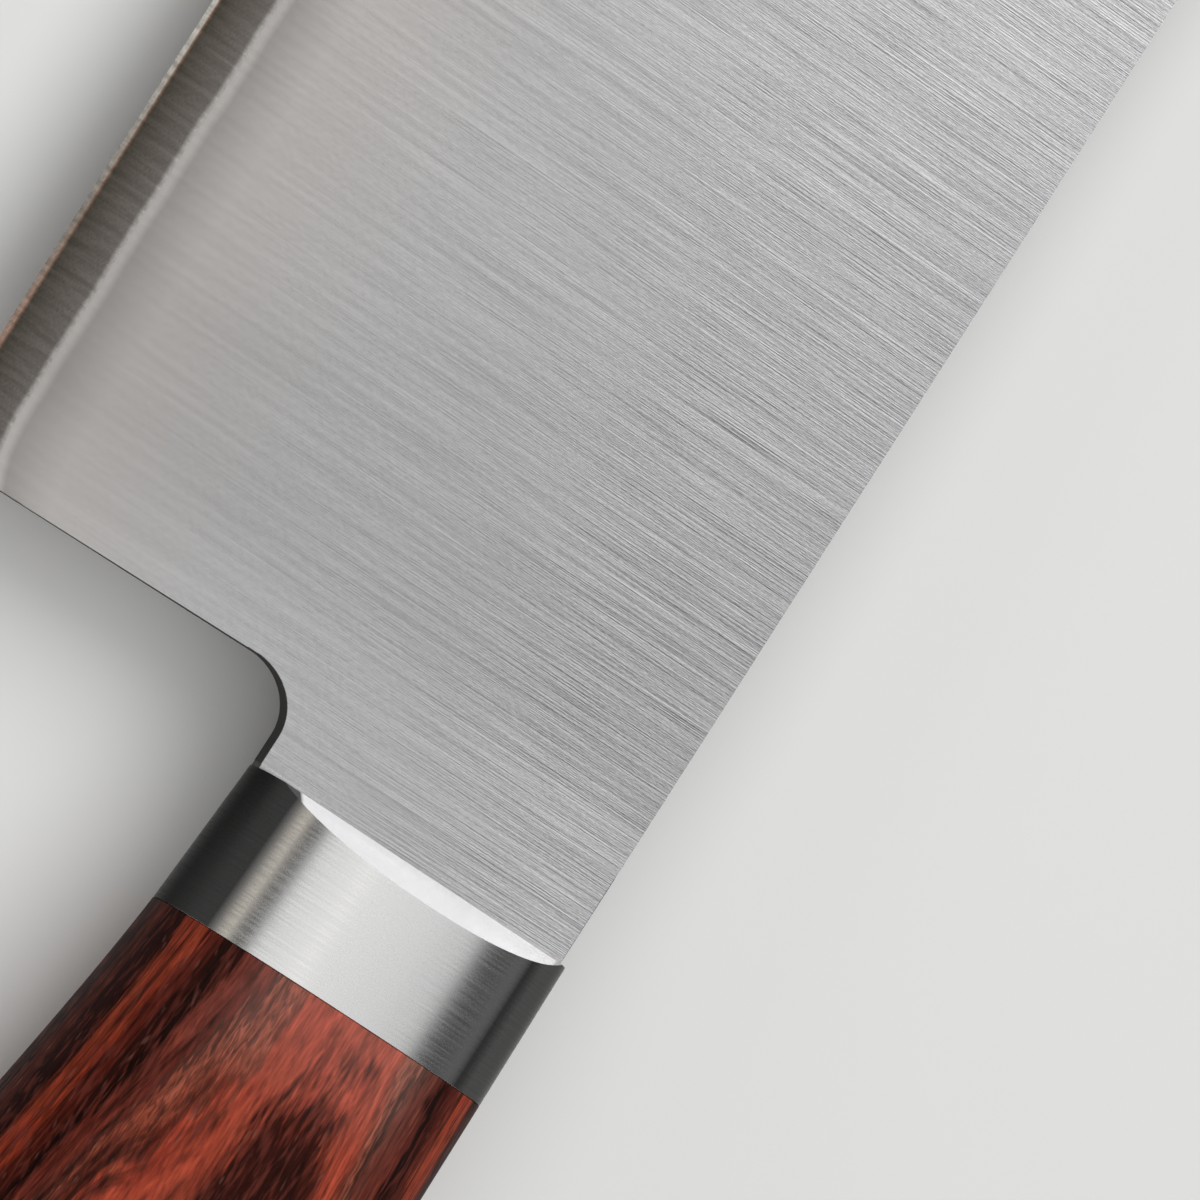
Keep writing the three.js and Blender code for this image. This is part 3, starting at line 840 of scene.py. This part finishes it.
def makeHandle(material):
    bm = bmesh.new()
    rings = []
    front = ferrule["length"] + handle["seatGap"]
    roundStart = handle["length"] - handle["buttRadius"]
    endSize = handleSize(roundStart)
    for step in range(handle["buttSteps"], 0, -1):
        turn = math.pi / 2 * step / handle["buttSteps"]
        back = roundStart + handle["buttRadius"] * math.sin(turn)
        inset = handle["buttRadius"] * (1 - math.cos(turn))
        rings.append(ovalRing(bm, -back, endSize, handle["sides"], inset))
    for step in range(handle["steps"], -1, -1):
        back = lerp(front + handle["frontEase"], roundStart, step / handle["steps"])
        rings.append(ovalRing(bm, -back, handleSize(back), handle["sides"]))
    rings.append(ovalRing(bm, -front, handleSize(front), handle["sides"], handle["frontEase"]))
    tenonInset = ferrule["wall"] + handle["tenonGap"]
    tenonEnd = ferrule["frontWall"] + handle["tenonGap"]
    endShare = tenonEnd / ferrule["length"]
    rings.append(ovalRing(bm, -front, handleSize(front), handle["sides"], tenonInset))
    rings.append(ovalRing(bm, -tenonEnd, mixSizes(ferrule["front"], ferrule["rear"], endShare),
                          handle["sides"], tenonInset))
    skin(bm, rings)
    knifePiece("handleBody", bm, material, "handle_body")


def makeFerrule(material):
    bm = bmesh.new()
    rear, front = ferrule["rear"], ferrule["front"]
    length, sides, ease = ferrule["length"], ferrule["sides"], ferrule["rimEase"]
    seatShare = ferrule["frontWall"] / length
    rings = [ovalRing(bm, -ferrule["frontWall"], mixSizes(front, rear, seatShare), sides, ferrule["wall"])]
    rings.append(ovalRing(bm, -length, rear, sides, ferrule["wall"]))
    rings.append(ovalRing(bm, -length, rear, sides, ease))
    for step in range(ferrule["steps"] + 1):
        share = lerp(1 - ease / length, 0, step / ferrule["steps"])
        rings.append(ovalRing(bm, -length * share, mixSizes(front, rear, share), sides))
    skin(bm, rings)
    for side in (1, -1):
        angle = math.radians(ferrule["bevelAngle"])
        normal = (math.cos(angle), 0, side * math.sin(angle))
        everything = bm.verts[:] + bm.edges[:] + bm.faces[:]
        cut = bmesh.ops.bisect_plane(bm, geom=everything, plane_co=(0, 0, side * ferrule["bevelStart"]),
                                     plane_no=normal, clear_outer=True)
        loop = [item for item in cut["geom_cut"] if isinstance(item, bmesh.types.BMEdge)]
        bmesh.ops.holes_fill(bm, edges=loop, sides=0)
    knifePiece("ferruleCollar", bm, material, "ferrule", ferrule["sharpAngle"])


# weld fillers between the neck's shoulders and the ferrule, ground flush with a faint ripple
weld = {
    "innerY": 6.9, "inset": 0.03, "bite": 0.08,  # how far the filler runs into the neck and the ferrule
    "steps": 42, "sides": 24, "squareness": 7, "ripple": 0.006, "perMm": 9,  # the ripple in radians per mm
    "beadY": 10.8, "beadHalf": 0.3, "bead": 0.07,  # a small proud bead at the spine's corner
}


def makeWeld(name, node, direction, beadSize, material):
    bm = bmesh.new()
    rings = []
    halfGap = blade["shoulder"] / 2
    outerY = blade["neckHeight"] / 2 + direction * blade["neckDrop"] - weld["inset"]
    for step in range(weld["steps"] + 1):
        y = lerp(weld["innerY"], outerY, step / weld["steps"])
        ripple = weld["ripple"] * (math.sin(weld["perMm"] * y) - 1)
        bead = beadSize * math.sqrt(max(0.0, 1 - ((y - weld["beadY"]) / weld["beadHalf"]) ** 2))
        ring = []
        for side in range(weld["sides"]):
            along, up = squaredTurn(2 * math.pi * side / weld["sides"], weld["squareness"])
            x = halfGap + (halfGap + weld["bite"] + bead) * along
            z = (blade["thickness"] / 2 + ripple + bead / 2) * up
            ring.append(bm.verts.new((x, direction * y, z)))
        rings.append(ring)
    skin(bm, rings)
    knifePiece(name, bm, material, node)


weldFinish = {
    "dark": (0.33, 0.325, 0.32), "light": (0.47, 0.465, 0.46), "roughness": (0.3, 0.45),
    "lineWidth": 0.2, "lineLength": 1.2,
}


def weldSteel():
    material, tree, shader = startMaterial("groundWeld")
    lines = brushedIn(tree, knifeCoords(tree), weldFinish["lineWidth"], weldFinish["lineLength"])["Lines"]
    face = mixColour(tree, lines, (*weldFinish["dark"], 1), (*weldFinish["light"], 1))
    # the filler's walls get the same painted shade as the blade's
    shadedWallAndFace(tree, shader, wallShadeShare(tree), face)
    low, high = weldFinish["roughness"]
    feed(tree, shader.inputs["Roughness"], remap(tree, lines, 0.0, 1.0, high, low))
    return material


# resin round the tang, hidden inside the handle
resinFinish = {
    "dark": (0.12, 0.08, 0.035), "light": (0.20, 0.14, 0.065), "cloudScale": (0.4, 0.6, 0.6),
    "roughness": (0.45, 0.6),
}


def hiddenResin():
    material, tree, shader = startMaterial("tangResin")
    cloud = noiseOf(tree, stretched(tree, knifeCoords(tree), resinFinish["cloudScale"]))
    colour = mixColour(tree, cloud, (*resinFinish["dark"], 1), (*resinFinish["light"], 1))
    feed(tree, shader.inputs["Base Color"], colour)
    feed(tree, shader.inputs["Roughness"], remap(tree, cloud, *noiseSpan, *resinFinish["roughness"]))
    return material


# stage: a pale floor, a softbox above, a panel by the tip, strips by the edge and over the crown
stageSetup = {
    "floorSize": 6.0, "floorColour": (0.80, 0.80, 0.79), "floorRoughness": 0.8, "floorGloss": 0.2,
    "floorFade": (0.35, 1.2), "backdrop": 0.6, "backdropRise": (0.12, 0.40), "world": (0.04, 0.12),
    "lights": {
        "softbox": {"towards": (0.0, -0.02, 1.0), "distance": 0.92, "size": (3.0, 1.68), "level": 0.9},
        "tipPanel": {"towards": (0.565, -0.26, 0.78), "distance": 1.1, "size": (0.71, 0.71), "level": 2.7},
        "edgeStrip": {"towards": (0.0, 0.90, 0.44), "distance": 1.0, "size": (1.2, 0.22),
                      "level": 0.8, "colour": (1.0, 0.92, 0.79)},
        "crownStrip": {"towards": (0.086, 0.167, 0.981), "distance": 0.85, "size": (1.2, 0.12),
                       "level": 0.25, "colour": (1.0, 0.95, 0.88)},
    },
}


# rays that show the pale backdrop: straight from the camera, off steel or through glass
def backdropRays(tree):
    rays = addNode(tree, "ShaderNodeLightPath").outputs
    seen = mathOf(tree, "MAXIMUM", rays["Is Camera Ray"], rays["Is Glossy Ray"])
    return mathOf(tree, "MAXIMUM", seen, rays["Is Transmission Ray"])


def makeFloor():
    half = stageSetup["floorSize"] / 2
    mesh = bpy.data.meshes.new("floor")
    corners = [(-half, -half, 0), (half, -half, 0), (half, half, 0), (-half, half, 0)]
    mesh.from_pydata(corners, [], [(0, 1, 2, 3)])
    floor = bpy.data.objects.new("floor", mesh)
    bpy.context.scene.collection.objects.link(floor)
    material, tree, shader = startMaterial("paleFloor")
    shader.inputs["Base Color"].default_value = (*stageSetup["floorColour"], 1)
    shader.inputs["Roughness"].default_value = stageSetup["floorRoughness"]
    shader.inputs["Specular IOR Level"].default_value = stageSetup["floorGloss"]
    # far from the knife the floor runs out into the backdrop
    outward = addNode(tree, "ShaderNodeVectorMath", operation="LENGTH")
    feed(tree, outward.inputs[0], addNode(tree, "ShaderNodeTexCoord").outputs["Object"])
    far = remap(tree, outward.outputs["Value"], *stageSetup["floorFade"], 0.0, 1.0, "SMOOTHSTEP")
    glow = addNode(tree, "ShaderNodeEmission")
    glow.inputs["Strength"].default_value = stageSetup["backdrop"]
    both = addNode(tree, "ShaderNodeMixShader")
    feed(tree, both.inputs[0], mathOf(tree, "MULTIPLY", far, backdropRays(tree)))
    feed(tree, both.inputs[1], shader.outputs["BSDF"])
    feed(tree, both.inputs[2], glow.outputs["Emission"])
    feed(tree, tree.nodes["Material Output"].inputs["Surface"], both.outputs["Shader"])
    mesh.materials.append(material)


def makeLights():
    for name, given in stageSetup["lights"].items():
        lamp = bpy.data.lights.new(name, "AREA")
        lamp.shape = "RECTANGLE"
        lamp.size, lamp.size_y = given["size"]
        lamp.energy = given["level"] * math.pi * lamp.size * lamp.size_y
        lamp.color = given.get("colour", (1, 1, 1))
        holder = bpy.data.objects.new(name, lamp)
        towards = (lay.to_3x3() @ Vector(given["towards"])).normalized()
        along = (Vector((1, 0, 0)) - towards * towards.x).normalized()
        turn = Matrix((along, towards.cross(along), towards)).transposed().to_4x4()
        holder.matrix_world = Matrix.Translation(towards * given["distance"]) @ turn
        holder.visible_camera = False
        bpy.context.scene.collection.objects.link(holder)
    world = bpy.data.worlds.new("studio")
    world.use_nodes = True
    tree = world.node_tree
    background = tree.nodes["Background"]
    upward = splitOf(tree, addNode(tree, "ShaderNodeTexCoord").outputs["Generated"])["Z"]
    level = remap(tree, upward, 0.0, 1.0, *stageSetup["world"])
    backdrop = remap(tree, upward, *stageSetup["backdropRise"], stageSetup["backdrop"], level)
    feed(tree, background.inputs["Strength"], remap(tree, backdropRays(tree), 0.0, 1.0, level, backdrop))
    background.inputs["Color"].default_value = (1, 1, 1, 1)
    bpy.context.scene.world = world


# the photograph's view, in knife millimetres
view = {
    "target": (20.01, -1.11, 0), "towards": (-0.0861, 0.2625, 0.9611), "right": (0.5380, -0.7995, 0.2666),
    "distance": 500, "lens": 246.4, "sensor": 36,
}


def makeCamera():
    camera = bpy.data.cameras.new("photoCamera")
    camera.sensor_width = view["sensor"]
    camera.lens = view["lens"]
    back = Vector(view["towards"]).normalized()
    right = Vector(view["right"])
    right = (right - back * right.dot(back)).normalized()
    turn = Matrix((right, back.cross(right), back)).transposed().to_4x4()
    place = (Vector(view["target"]) + back * view["distance"]) * mm
    holder = bpy.data.objects.new("photoCamera", camera)
    bpy.context.scene.collection.objects.link(holder)
    holder.matrix_world = lay @ Matrix.Translation(place) @ turn
    bpy.context.scene.camera = holder


claddingMaterial = claddingSteel()
makeCladding("claddingLeft", "cladding_left", 1, claddingMaterial)
makeCladding("claddingRight", "cladding_right", -1, claddingMaterial)
makeCore(coreSteel())
makeFerrule(ferruleSteel())
makeHandle(laminatedWood())
weldMaterial = weldSteel()
makeWeld("weldSpine", "weld_spine", -1, weld["bead"], weldMaterial)
makeWeld("weldBelly", "weld_belly", 1, 0.0, weldMaterial)
resin = frame["nodes"]["tang_adhesive"].data.materials
resin.clear()
resin.append(hiddenResin())
print("knife dressed")

makeFloor()
makeLights()
makeCamera()
bpy.context.scene.view_settings.view_transform = "Standard"
print("stage set")
